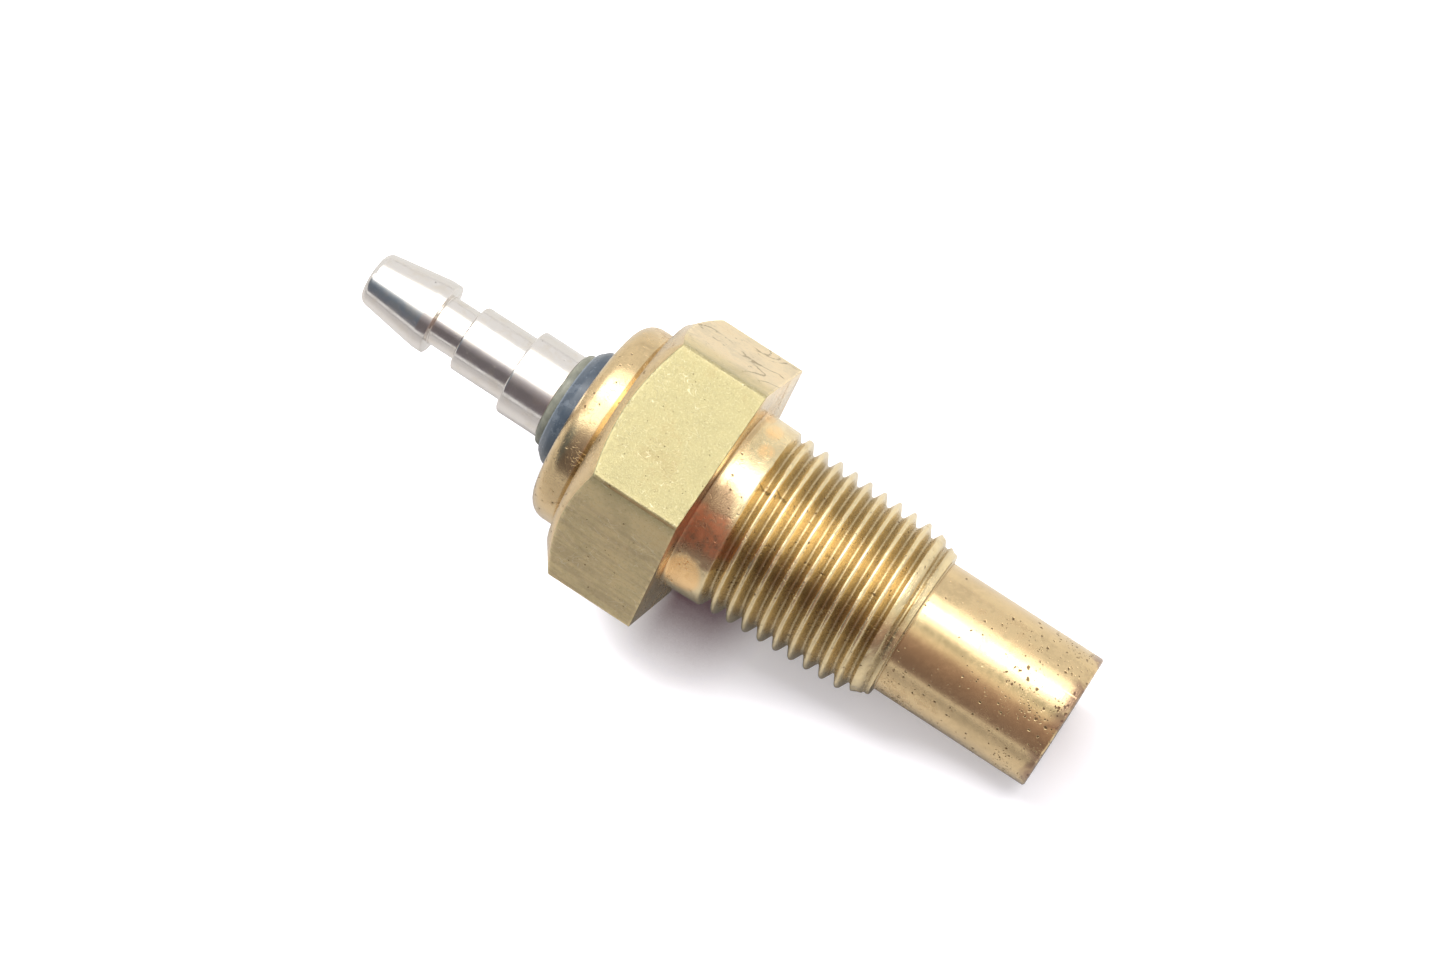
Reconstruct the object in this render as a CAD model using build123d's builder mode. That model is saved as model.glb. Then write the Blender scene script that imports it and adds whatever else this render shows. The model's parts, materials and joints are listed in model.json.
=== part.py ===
from build123d import *
from math import atan, cos, degrees, radians, sin, tan
import os

# Oil temperature switch for an engine, with one bullet terminal and its earth through the thread.
# A one-piece turned brass body has a hexagon, a taper pipe thread and a blind bulb. Its collar is
# rolled over an insulating bush that carries the riveted terminal pin. Inside the bulb a spring
# holds a temperature-sensitive pellet against the floor of the bore.
#
# The part lies as it comes to rest: on the thread-side edge of one hexagon flat and on the rim of
# the bulb. Z is up, X runs from the terminal to the bulb, and the floor is at Z = 0.
# All sizes are millimetres. A station is a distance along the centreline from the hexagon's
# thread-side face, positive towards the bulb. A profile is drawn as (radius, station).

# Hexagon
hex_across_flats = 14.0
hex_length = 5.7
hex_chamfer_diameter = 13.3
hex_chamfer_angle = 30.0

# Collar rolled over the bush
collar_diameter = 11.4
collar_length = 2.4
collar_groove_diameter = 10.9
collar_groove_width = 0.45
lip_bore_diameter = 6.84
lip_thickness = 0.95
lip_slope = 9.0
lip_outer_round = 1.0
lip_rim_chamfer = 0.15

# Taper pipe thread, 28 turns to the inch on a 1 in 16 taper
thread_pitch = 0.907
thread_gauge_diameter = 9.728
thread_gauge_length = 4.0
thread_taper = 1 / 16
thread_depth = 0.581
thread_form_angle = 55.0
thread_crest_share = 1 / 6
thread_lead_diameter = 8.3
thread_lead_length = 1.6
thread_overrun = 0.4
shank_length = 11.85
neck_length = 1.8
shortest_run_out = 0.5

# Bulb and bores
bulb_diameter = 7.5
bulb_length = 9.0
bulb_floor = 1.2
bulb_edge_chamfer = 0.1
bore_diameter = 5.2
counterbore_diameter = 8.6
counterbore_in_hex = 0.7

# Terminal pin
head_diameter = 4.0
head_land = 0.6
head_length = 4.15
head_tip_diameter = 2.9
head_tip_chamfer = 0.3
catch_neck_diameter = 2.8
catch_neck_length = 1.7
middle_step_diameter = 3.72
middle_step_length = 3.2
large_step_diameter = 4.8
large_step_length = 2.5
step_chamfer = 0.18
stem_diameter = 2.4
rivet_head_diameter = 3.1
rivet_head_height = 0.6

# Insulation and seal
bush_collar_diameter = 3.8
bush_spigot_length = 12.0
washer_diameter = 5.36
washer_thickness = 0.47
washer_chamfer = 0.2
seal_stand = 0.88
seal_crown_chamfer = 0.55
sleeve_wall = 0.2

# Contacts, spring and pellet
plate_diameter = 4.4
plate_thickness = 0.5
lower_contact_thickness = 0.2
pellet_diameter = 4.0
pellet_thickness = 1.6
cap_diameter = 4.3
cap_thickness = 0.6
cap_boss_diameter = 2.9
cap_boss_height = 0.7
spring_diameter = 3.8
spring_wire = 0.4
spring_turns = 3
spring_wire_sides = 4

# Clearance of a piece in its bore or on its stem, on the radius
clearance = 0.05

# Radii
hex_apothem = hex_across_flats / 2
hex_corner_radius = hex_apothem / cos(radians(30))
collar_radius = collar_diameter / 2
lip_bore_radius = lip_bore_diameter / 2
counterbore_radius = counterbore_diameter / 2
bore_radius = bore_diameter / 2
bulb_radius = bulb_diameter / 2
stem_radius = stem_diameter / 2
stem_hole_radius = stem_radius + clearance
bush_collar_radius = bush_collar_diameter / 2
blank_end_radius = (thread_gauge_diameter - thread_gauge_length * thread_taper) / 2
blank_seat_radius = blank_end_radius + shank_length * thread_taper / 2
thread_lead_radius = thread_lead_diameter / 2

# Stations
hex_face = -hex_length
lip_rim = hex_face - collar_length
lip_inside = lip_rim + lip_thickness
bush_seat = hex_face + counterbore_in_hex
bush_end = bush_seat + bush_spigot_length
plate_end = bush_end + plate_thickness
seal_top = lip_rim - seal_stand
washer_top = seal_top - washer_thickness
large_step_end = washer_top - large_step_length
middle_step_end = large_step_end - middle_step_length
head_shoulder = middle_step_end - catch_neck_length
terminal_tip = head_shoulder - head_length
bulb_end = shank_length + bulb_length
bore_floor = bulb_end - bulb_floor
lower_contact_top = bore_floor - lower_contact_thickness
pellet_top = lower_contact_top - pellet_thickness
cap_top = pellet_top - cap_thickness

# Rest attitude: the hexagon edge and the rim of the bulb touch the floor together
rest_angle = atan((hex_apothem - bulb_radius) / (bulb_end - bulb_edge_chamfer))
along = Vector(cos(rest_angle), 0, -sin(rest_angle))
upward = Vector(sin(rest_angle), 0, cos(rest_angle))

# The seat point puts the middle of the overall length at X = 0 and the hexagon edge at Z = 0
tip_reach = min(
    terminal_tip * cos(rest_angle) - (head_tip_diameter / 2 - head_tip_chamfer) * sin(rest_angle),
    (terminal_tip + head_tip_chamfer) * cos(rest_angle) - head_tip_diameter / 2 * sin(rest_angle),
)
bulb_reach = max(
    bulb_end * cos(rest_angle) + (bulb_radius - bulb_edge_chamfer) * sin(rest_angle),
    (bulb_end - bulb_edge_chamfer) * cos(rest_angle) + bulb_radius * sin(rest_angle),
)
seat = Vector(-(tip_reach + bulb_reach) / 2, 0, hex_apothem * cos(rest_angle))

centreline = Axis(seat, along)
section = Plane(origin=seat, x_dir=upward, z_dir=upward.cross(along))


def lip_outside(radius):
    """Station of the rolled lip's outer cone at a radius."""
    return lip_rim + (radius - lip_bore_radius) * tan(radians(lip_slope))


def cross_plane(station):
    """Plane square to the centreline that looks towards the terminal."""
    return Plane(origin=seat + along * station, x_dir=upward, z_dir=-along)


# Body: hexagon, collar, taper shank and bulb, turned in one piece
with BuildPart() as body:
    with BuildSketch(cross_plane(0)):
        RegularPolygon(radius=hex_apothem, side_count=6, major_radius=False, rotation=30)
    extrude(amount=hex_length)

    chamfer_rise = (hex_corner_radius - hex_chamfer_diameter / 2) * tan(radians(hex_chamfer_angle))
    with BuildSketch(section):
        with BuildLine():
            Polyline(
                (0, 0),
                (hex_corner_radius, 0),
                (hex_corner_radius, hex_face + chamfer_rise),
                (hex_chamfer_diameter / 2, hex_face),
                (0, hex_face),
                close=True,
            )
        make_face()
    revolve(axis=centreline, mode=Mode.INTERSECT)

    lead_start_radius = blank_end_radius + thread_lead_length * thread_taper / 2
    with BuildSketch(section) as turned:
        with BuildLine():
            Polyline(
                (0, bulb_end),
                (bulb_radius - bulb_edge_chamfer, bulb_end),
                (bulb_radius, bulb_end - bulb_edge_chamfer),
                (bulb_radius, shank_length),
                (thread_lead_radius, shank_length),
                (lead_start_radius, shank_length - thread_lead_length),
                (blank_seat_radius, 0),
                (blank_seat_radius, hex_face),
                (collar_groove_diameter / 2, hex_face),
                (collar_groove_diameter / 2, hex_face - collar_groove_width),
                (collar_radius, hex_face - collar_groove_width),
                (collar_radius, lip_outside(collar_radius)),
                (lip_bore_radius + lip_rim_chamfer, lip_outside(lip_bore_radius + lip_rim_chamfer)),
                (lip_bore_radius, lip_rim + lip_rim_chamfer),
                (0, lip_rim + lip_rim_chamfer),
                close=True,
            )
        make_face()
        collar_corner = turned.vertices().sort_by_distance((collar_radius, lip_outside(collar_radius)))[0]
        fillet(collar_corner, radius=lip_outer_round)
    revolve(axis=centreline)

    # Stepped blind bore, closed at the terminal end by the rolled lip
    lip_undercut = (counterbore_radius - lip_bore_radius) * tan(radians(lip_slope))
    with BuildSketch(section):
        with BuildLine():
            Polyline(
                (0, lip_rim),
                (lip_bore_radius, lip_rim),
                (lip_bore_radius, lip_inside),
                (counterbore_radius, lip_inside + lip_undercut),
                (counterbore_radius, bush_seat),
                (bore_radius, bush_seat),
                (bore_radius, bore_floor),
                (0, bore_floor),
                close=True,
            )
        make_face()
    revolve(axis=centreline, mode=Mode.SUBTRACT)

    # The thread is one helical groove, cut a full turn at a time from beyond the small end.
    # The rest of the way to the neck it climbs out of the blank, as a die leaves it.
    groove_half = thread_pitch * (1 - thread_crest_share) / 2
    flank = tan(radians(thread_form_angle / 2))
    overcut = thread_depth / 4
    groove_start = shank_length + thread_overrun
    groove_reach = groove_start - neck_length
    full_turns = int(groove_reach / thread_pitch - shortest_run_out)
    run_out = groove_reach - full_turns * thread_pitch
    for turn in range(full_turns + 1):
        turn_station = groove_start - turn * thread_pitch
        turn_centre = seat + along * turn_station
        last_turn = turn == full_turns
        with BuildLine(mode=Mode.PRIVATE) as groove_path:
            Helix(
                pitch=thread_pitch,
                height=run_out if last_turn else thread_pitch,
                radius=blank_seat_radius - turn_station * thread_taper / 2,
                center=turn_centre,
                direction=-along,
                cone_angle=degrees(atan(thread_depth / run_out if last_turn else thread_taper / 2)),
            )
        groove_line = groove_path.edges()[0]
        groove_point = groove_line @ 0
        outward = (groove_point - turn_centre).normalized()
        with BuildSketch(Plane(origin=groove_point, x_dir=outward, z_dir=groove_line % 0)):
            with BuildLine():
                Polyline(
                    (-thread_depth, -(groove_half - thread_depth * flank)),
                    (overcut, -(groove_half + overcut * flank)),
                    (overcut, groove_half + overcut * flank),
                    (-thread_depth, groove_half - thread_depth * flank),
                    close=True,
                )
            make_face()
        sweep(path=groove_line, is_frenet=True, mode=Mode.SUBTRACT)
body.part.label = "body"

# Terminal pin: bullet head, catch neck, two steps and a stem riveted over inside
with BuildPart() as terminal_pin:
    with BuildSketch(section):
        with BuildLine():
            Polyline(
                (0, terminal_tip),
                (head_tip_diameter / 2 - head_tip_chamfer, terminal_tip),
                (head_tip_diameter / 2, terminal_tip + head_tip_chamfer),
                (head_diameter / 2, head_shoulder - head_land),
                (head_diameter / 2, head_shoulder),
                (catch_neck_diameter / 2, head_shoulder),
                (catch_neck_diameter / 2, middle_step_end),
                (middle_step_diameter / 2 - step_chamfer, middle_step_end),
                (middle_step_diameter / 2, middle_step_end + step_chamfer),
                (middle_step_diameter / 2, large_step_end),
                (large_step_diameter / 2 - step_chamfer, large_step_end),
                (large_step_diameter / 2, large_step_end + step_chamfer),
                (large_step_diameter / 2, washer_top),
                (stem_radius, washer_top),
                (stem_radius, plate_end),
                (rivet_head_diameter / 2, plate_end),
                (0, plate_end + rivet_head_height),
                close=True,
            )
        make_face()
    revolve(axis=centreline)
terminal_pin.part.label = "terminal_pin"

# Insulating washer under the terminal's large step
with BuildPart() as terminal_washer:
    with BuildSketch(section):
        with BuildLine():
            Polyline(
                (stem_hole_radius, seal_top),
                (washer_diameter / 2, seal_top),
                (washer_diameter / 2, washer_top + washer_chamfer),
                (washer_diameter / 2 - washer_chamfer, washer_top),
                (stem_hole_radius, washer_top),
                close=True,
            )
        make_face()
    revolve(axis=centreline)
terminal_washer.part.label = "terminal_washer"

# Rubber seal ring, squeezed by the washer until it crowns out of the lip
with BuildPart() as seal_ring:
    with BuildSketch(section):
        with BuildLine():
            Polyline(
                (bush_collar_radius, seal_top),
                (bush_collar_radius, lip_inside),
                (lip_bore_radius, lip_inside),
                (lip_bore_radius, seal_top + seal_crown_chamfer),
                (lip_bore_radius - seal_crown_chamfer, seal_top),
                close=True,
            )
        make_face()
    revolve(axis=centreline)
seal_ring.part.label = "seal_ring"

# Insulating bush: flange under the lip, collar through the seal, spigot in the bore
with BuildPart() as insulator_bush:
    flange_radius = counterbore_radius - clearance
    flange_rise = (flange_radius - lip_bore_radius) * tan(radians(lip_slope))
    with BuildSketch(section):
        with BuildLine():
            Polyline(
                (stem_hole_radius, seal_top),
                (bush_collar_radius, seal_top),
                (bush_collar_radius, lip_inside),
                (lip_bore_radius, lip_inside),
                (flange_radius, lip_inside + flange_rise),
                (flange_radius, bush_seat),
                (bore_radius - clearance, bush_seat),
                (bore_radius - clearance, bush_end),
                (stem_hole_radius, bush_end),
                close=True,
            )
        make_face()
    revolve(axis=centreline)
insulator_bush.part.label = "insulator_bush"

# Contact plate that the stem is riveted over
with BuildPart() as contact_plate:
    with BuildSketch(cross_plane(plate_end)):
        Circle(plate_diameter / 2)
        Circle(stem_hole_radius, mode=Mode.SUBTRACT)
    extrude(amount=plate_thickness)
contact_plate.part.label = "contact_plate"

# Insulating sleeve that keeps the spring and the pellet off the wall of the bore
with BuildPart() as insulating_sleeve:
    sleeve_radius = bore_radius - clearance
    with BuildSketch(cross_plane(lower_contact_top)):
        Circle(sleeve_radius)
        Circle(sleeve_radius - sleeve_wall, mode=Mode.SUBTRACT)
    extrude(amount=lower_contact_top - bush_end)
insulating_sleeve.part.label = "insulating_sleeve"

# Lower contact disc on the floor of the bore
with BuildPart() as lower_contact:
    with BuildSketch(cross_plane(bore_floor)):
        Circle(bore_radius - clearance)
    extrude(amount=lower_contact_thickness)
lower_contact.part.label = "lower_contact"

# Temperature-sensitive pellet
with BuildPart() as thermistor_pellet:
    with BuildSketch(cross_plane(lower_contact_top)):
        Circle(pellet_diameter / 2)
    extrude(amount=pellet_thickness)
thermistor_pellet.part.label = "thermistor_pellet"

# Upper contact: a disc on the pellet, with a boss inside the end coil of the spring
with BuildPart() as upper_contact:
    with BuildSketch(cross_plane(pellet_top)):
        Circle(cap_diameter / 2)
    extrude(amount=cap_thickness)
    with BuildSketch(cross_plane(cap_top)):
        Circle(cap_boss_diameter / 2)
    extrude(amount=cap_boss_height)
upper_contact.part.label = "upper_contact"

# Contact spring between the plate and the upper contact, its ends ground flat
with BuildPart() as contact_spring:
    spring_length = cap_top - plate_end
    with BuildLine(mode=Mode.PRIVATE) as coil_path:
        Helix(
            pitch=spring_length / spring_turns,
            height=spring_length,
            radius=spring_diameter / 2,
            center=seat + along * plate_end,
            direction=along,
        )
    coil_line = coil_path.edges()[0]
    with BuildSketch(Plane(origin=coil_line @ 0, z_dir=coil_line % 0)):
        RegularPolygon(radius=spring_wire / 2, side_count=spring_wire_sides)
    sweep(path=coil_line, is_frenet=True)
    split(bisect_by=cross_plane(plate_end), keep=Keep.BOTTOM)
    split(bisect_by=cross_plane(cap_top), keep=Keep.TOP)
contact_spring.part.label = "contact_spring"

pieces = [
    body,
    terminal_pin,
    terminal_washer,
    seal_ring,
    insulator_bush,
    contact_plate,
    insulating_sleeve,
    lower_contact,
    thermistor_pellet,
    upper_contact,
    contact_spring,
]

os.makedirs("parts", exist_ok=True)
export_step(body.part, "parts/body.step")
export_step(terminal_pin.part, "parts/terminal_pin.step")
export_step(terminal_washer.part, "parts/terminal_washer.step")
export_step(seal_ring.part, "parts/seal_ring.step")
export_step(insulator_bush.part, "parts/insulator_bush.step")
export_step(contact_plate.part, "parts/contact_plate.step")
export_step(insulating_sleeve.part, "parts/insulating_sleeve.step")
export_step(lower_contact.part, "parts/lower_contact.step")
export_step(thermistor_pellet.part, "parts/thermistor_pellet.step")
export_step(upper_contact.part, "parts/upper_contact.step")
export_step(contact_spring.part, "parts/contact_spring.step")

for piece in pieces:
    box = piece.part.bounding_box()
    print(piece.part.label, "volume", round(piece.part.volume, 2), "lowest", round(box.min.Z, 3))
print("rest angle", round(degrees(rest_angle), 2), "degrees; seat", seat)
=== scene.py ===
import json
from math import atan2, cos, pi, radians, sin, tan

import bpy
from bpy.props import FloatProperty, FloatVectorProperty, IntProperty, PointerProperty
from mathutils import Matrix, Vector, noise


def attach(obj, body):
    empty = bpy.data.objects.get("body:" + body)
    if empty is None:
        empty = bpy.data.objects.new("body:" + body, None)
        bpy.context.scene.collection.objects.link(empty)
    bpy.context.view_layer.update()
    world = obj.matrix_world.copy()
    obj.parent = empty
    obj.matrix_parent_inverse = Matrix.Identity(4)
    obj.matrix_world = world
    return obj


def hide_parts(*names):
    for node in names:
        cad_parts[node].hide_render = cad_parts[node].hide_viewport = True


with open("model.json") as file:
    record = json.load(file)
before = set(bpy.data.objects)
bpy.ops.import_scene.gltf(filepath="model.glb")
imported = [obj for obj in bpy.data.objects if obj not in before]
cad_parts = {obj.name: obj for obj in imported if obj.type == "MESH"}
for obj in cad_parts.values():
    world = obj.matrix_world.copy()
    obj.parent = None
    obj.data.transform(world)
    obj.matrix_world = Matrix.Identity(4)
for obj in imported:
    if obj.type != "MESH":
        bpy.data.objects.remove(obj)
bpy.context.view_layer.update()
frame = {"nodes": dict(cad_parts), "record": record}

bl_info = {
    "name": "Oil temperature switch",
    "version": (1, 0, 0),
    "blender": (4, 5, 0),
    "location": "View3D > Sidebar > Switch",
    "description": "Dresses the packed oil temperature switch: brass body, terminal, seal and studio",
    "category": "Object",
}

MM = 0.001
BODY_NAME = "root"

# The part's centreline, from the record's mounts
MOUNTS = {mount["name"]: mount for mount in frame["record"]["mounts"]}
HEXAGON = MOUNTS["hexagon"]["dims"]
THREAD = MOUNTS["shank_thread"]["dims"]
BULB = MOUNTS["bulb"]["dims"]
TERMINAL = MOUNTS["bullet_terminal"]["dims"]
ALONG = Vector(MOUNTS["shank_thread"]["axis"]).normalized()
ACROSS = ALONG.cross(Vector((0, 0, 1))).normalized()
UPWARD = ACROSS.cross(ALONG)
SEAT = Vector(MOUNTS["hexagon"]["pos_m"]) + ALONG * HEXAGON["length_mm"] * MM / 2


def station_of(mount_name):
    """A mount's distance along the centreline from the hexagon's thread-side face, in millimetres."""
    return (Vector(MOUNTS[mount_name]["pos_m"]) - SEAT).dot(ALONG) / MM


def place(radius, station, angle):
    """A point on the part, in metres, from its radius and station in millimetres."""
    outward = UPWARD * cos(angle) + ACROSS * sin(angle)
    return SEAT + (ALONG * station + outward * radius) * MM


# Sizes and colours that a user would change


def length(name, description, millimetres):
    """A length property with its default in millimetres."""
    return FloatProperty(
        name=name, description=description, default=millimetres * MM, min=0.0, precision=5, unit="LENGTH"
    )


def slant(name, description, degrees):
    """An angle property with its default in degrees."""
    return FloatProperty(name=name, description=description, default=radians(degrees), subtype="ANGLE")


def amount(name, description, default):
    """A property that is a plain number."""
    return FloatProperty(name=name, description=description, default=default, min=0.0)


def colour(name, description, red, green, blue):
    """A colour property with its default as linear red, green and blue."""
    return FloatVectorProperty(
        name=name, description=description, default=(red, green, blue), min=0.0, max=1.0, subtype="COLOR"
    )


class SwitchBodySizes(bpy.types.PropertyGroup):
    """Sizes of the brass body."""

    hex_across_flats: length("Across flats", "Hexagon width across its flats", 2 * HEXAGON["r_mm"])
    hex_length: length("Hexagon length", "Length of the hexagon", HEXAGON["length_mm"])
    hex_bar_diameter: length("Corner diameter", "Diameter that the hexagon's corners are dulled to", 16.06)
    hex_chamfer_diameter: length("Chamfer diameter", "Inner edge of the hexagon's chamfer", 13.3)
    hex_chamfer_angle: slant("Chamfer angle", "Slope of the hexagon's chamfer", 30)
    collar_diameter: length("Collar diameter", "Outer diameter of the rolled collar", 11.4)
    collar_length: length("Collar length", "Length of the collar from the hexagon to the lip", 2.4)
    groove_diameter: length("Groove diameter", "Diameter of the groove behind the collar", 11.2)
    groove_width: length("Groove width", "Width of the groove behind the collar, with its slope", 0.36)
    groove_slope: length("Groove slope", "Length of the slope from the collar into the groove", 0.26)
    chamfer_foot: length("Chamfer foot", "How far the hexagon's chamfer starts before its end face", 0.2)
    lip_bore: length("Lip bore", "Bore of the rolled lip", 6.84)
    lip_thickness: length("Lip thickness", "Thickness of the rolled lip", 0.95)
    lip_slope: slant("Lip slope", "Slope of the rolled lip", 9)
    lip_outer_round: length("Lip outer round", "Round between the lip and the collar", 1.0)
    lip_rim_round: length("Lip rim round", "Round on the rim of the lip", 0.15)
    shank_length: length("Shank length", "Length of the neck and the thread", 11.85)
    neck_length: length("Neck length", "Plain neck beside the hexagon", 1.8)
    thread_pitch: length("Thread pitch", "Distance between crests", 0.907)
    thread_depth: length("Thread depth", "Depth from crest to root", 0.581)
    thread_taper: amount("Thread taper", "Taper on diameter", 1 / 16)
    thread_lead_diameter: length("Lead diameter", "Small end of the thread's lead", 8.3)
    thread_lead_length: length("Lead length", "Length of the thread's lead", 1.6)
    thread_run_out: length("Run-out", "Length in which the groove climbs out by the neck", 0.48)
    bulb_diameter: length("Bulb diameter", "Diameter of the bulb", 2 * BULB["r_mm"])
    bulb_edge: length("Bulb edge", "Broken edge of the bulb's end", 0.1)
    bulb_length: length("Bulb length", "Length of the bulb", BULB["length_mm"] + 0.1)
    bulb_floor: length("Bulb floor", "Thickness of the bulb's closed end", 1.2)
    bore_diameter: length("Bore diameter", "Blind bore inside the shank and the bulb", 5.2)
    counterbore_diameter: length("Counterbore diameter", "Wide bore under the lip", 8.6)
    counterbore_in_hex: length("Counterbore reach", "Depth of the wide bore inside the hexagon", 0.7)
    edge_break: length("Edge break", "Width of the worn edges", 0.04)
    columns_per_degree: IntProperty(name="Columns per degree", description="Fineness round", default=1, min=1)


class SwitchTerminalSizes(bpy.types.PropertyGroup):
    """Sizes of the terminal, its washer and the seal."""

    head_diameter: length("Head diameter", "Bullet head at its shoulder", 2 * TERMINAL["r_mm"])
    head_land: length("Head land", "Straight part of the head", TERMINAL["length_mm"])
    head_length: length("Head length", "Length of the bullet head", 4.15)
    tip_diameter: length("Tip diameter", "Bullet head at its tip", 2.9)
    tip_round: length("Tip round", "Round at the tip", 0.45)
    neck_diameter: length("Catch neck diameter", "Neck that the connector catches in", 2.8)
    neck_length: length("Catch neck length", "Length of the catch neck", 1.7)
    middle_diameter: length("Middle step diameter", "Diameter of the middle step", 3.72)
    middle_length: length("Middle step length", "Length of the middle step", 3.2)
    large_diameter: length("Large step diameter", "Diameter of the large step", 4.8)
    large_length: length("Large step length", "Length of the large step", 2.5)
    step_round: length("Step round", "Round on the steps' edges", 0.16)
    stem_diameter: length("Stem diameter", "Stem through the insulator", 2.4)
    rivet_diameter: length("Rivet diameter", "Riveted head inside", 3.1)
    rivet_height: length("Rivet height", "Height of the riveted head", 0.6)
    washer_diameter: length("Washer diameter", "Insulating washer", 5.36)
    seal_stand: length("Seal stand", "Height of the seal over the lip", 0.88)
    seal_crown: length("Seal crown", "Width of the seal's round shoulder", 0.67)
    seal_inner_diameter: length("Seal inner diameter", "Collar that the seal sits on", 3.8)
    stem_clearance: length("Stem clearance", "Clearance round the stem", 0.05)


class SwitchFinish(bpy.types.PropertyGroup):
    """Colours of the finishes."""

    brass_flat: colour("Brass, drawn flats", "Matt drawn bar of the hexagon", 0.68, 0.56, 0.32)
    brass_turned: colour("Brass, turned", "Turned brass of the collar, neck and bulb", 0.72, 0.54, 0.30)
    brass_thread: colour("Thread brass", "Turned brass of the thread", 0.84, 0.68, 0.40)
    brass_tarnish: colour("Brass tarnish", "Brown film in hollows and stains", 0.30, 0.17, 0.075)
    brass_pit: colour("Brass pits", "Dark speckle and pits", 0.10, 0.055, 0.022)
    nickel: colour("Nickel", "Plated terminal", 0.74, 0.70, 0.66)
    rubber: colour("Rubber", "Seal ring", 0.035, 0.046, 0.061)
    fibre: colour("Fibre", "Insulating washer", 0.085, 0.088, 0.07)


class SwitchStage(bpy.types.PropertyGroup):
    """Camera and studio."""

    azimuth: slant("Azimuth", "Camera's turn round the part", 48.59)
    elevation: slant("Elevation", "Camera's height over the floor", 69.91)
    roll: slant("Roll", "Camera's roll", -15.98)
    distance: length("Distance", "From the camera to the seat point", 207.18)
    aim_right: length("Aim right", "How far right of the seat point the camera aims", 0.29)
    aim_up: length("Aim up", "How far above the seat point the camera aims", 0.98)
    lens: amount("Lens", "Focal length in millimetres", 101.85)
    floor_size: length("Floor size", "Side of the floor", 6000)
    world_strength: amount("World strength", "Light from all round on matt surfaces", 0.85)
    softbox_radiance: amount("Softbox radiance", "Brightness of the softbox", 2.9)
    fill_radiance: amount("Fill radiance", "Brightness of the wide fill", 1.25)
    key_radiance: amount("Key radiance", "Brightness of the lamp for the floor", 13.0)


def in_millimetres(group):
    """The values of a property group, its lengths in millimetres, under the same names."""
    values = {}
    for key in group.__annotations__:
        value = getattr(group, key)
        is_length = group.bl_rna.properties[key].unit == "LENGTH"
        values[key] = value / MM if is_length else value
    return type("Sizes", (), values)


def stations_of(node_name):
    """The lowest and highest station of a CAD node, in millimetres."""
    stations = [(vertex.co - SEAT).dot(ALONG) / MM for vertex in frame["nodes"][node_name].data.vertices]
    return min(stations), max(stations)


# Meshes


def add_object(name, data, matrix=None):
    """An object in the scene that holds a mesh, a light or a camera."""
    piece = bpy.data.objects.new(name, data)
    if matrix is not None:
        piece.matrix_world = matrix
    bpy.context.scene.collection.objects.link(piece)
    return piece


def angles_round(count, extra=()):
    """Evenly spaced angles, with extra ones sorted in."""
    even = [2 * pi * i / count for i in range(count)]
    return sorted(even + [angle % (2 * pi) for angle in extra])


class Skin:
    """Vertices and faces of a closed round piece, made of rings that share one list of angles.

    Rings are laid in the order that a point takes over the profile with the solid on its right, seen
    with the centreline to the right, so that every face looks outward. Wear runs from -1 for grime in
    a hollow to 1 for bright metal on an edge."""

    def __init__(self, angles):
        self.angles = angles
        self.count = len(angles)
        self.points = []
        self.faces = []
        self.finishes = []
        self.wear = []

    def point(self, radius, station, angle, wear=0.0):
        self.points.append(place(radius, station, angle))
        self.wear.append(wear)
        return len(self.points) - 1

    def ring(self, radius, station, wear=0.0):
        """One vertex for each angle. Radius, station and wear are numbers, or functions of the angle."""
        given = (radius, station, wear)
        ids = []
        for angle in self.angles:
            here, there, worn = (value(angle) if callable(value) else value for value in given)
            ids.append(self.point(here, there, angle, worn))
        return ids

    def face(self, corners, finish):
        self.faces.append(corners)
        self.finishes.append(finish)

    def band(self, first, second, finish=0):
        """Faces between two rings."""
        for i in range(self.count):
            j = (i + 1) % self.count
            self.face((first[i], first[j], second[j], second[i]), finish)

    def sweep(self, last, rings, finish=0):
        """Bands from one ring over the next ones, each given as for ring. It returns the last ring."""
        for values in rings:
            ring = self.ring(*values)
            self.band(last, ring, finish)
            last = ring
        return last

    def open_cap(self, pole, ring, finish=0):
        for i in range(self.count):
            self.face((pole, ring[(i + 1) % self.count], ring[i]), finish)

    def close_cap(self, ring, pole, finish=0):
        for i in range(self.count):
            self.face((ring[i], ring[(i + 1) % self.count], pole), finish)

    def zip(self, left, right, finish=0):
        """Triangles between two lines of points that both run along the centreline."""
        a = b = 0
        while a < len(left) - 1 or b < len(right) - 1:
            left_next = ALONG.dot(self.points[left[a + 1]]) if a < len(left) - 1 else None
            right_next = ALONG.dot(self.points[right[b + 1]]) if b < len(right) - 1 else None
            if right_next is None or (left_next is not None and left_next < right_next):
                self.face((left[a], right[b], left[a + 1]), finish)
                a += 1
            else:
                self.face((left[a], right[b], right[b + 1]), finish)
                b += 1

    def build(self, name, materials, sharp_degrees=32.0):
        """The object, with its finishes, smooth faces and a wear attribute."""
        mesh = bpy.data.meshes.new(name)
        mesh.from_pydata(self.points, [], self.faces)
        for material in materials:
            mesh.materials.append(material)
        mesh.polygons.foreach_set("material_index", self.finishes)
        mesh.polygons.foreach_set("use_smooth", [True] * len(self.faces))
        mesh.set_sharp_from_angle(angle=radians(sharp_degrees))
        layer = mesh.attributes.new("wear", "FLOAT", "POINT")
        layer.data.foreach_set("value", self.wear)
        mesh.validate()
        mesh.update()
        return add_object(name, mesh)


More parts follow.
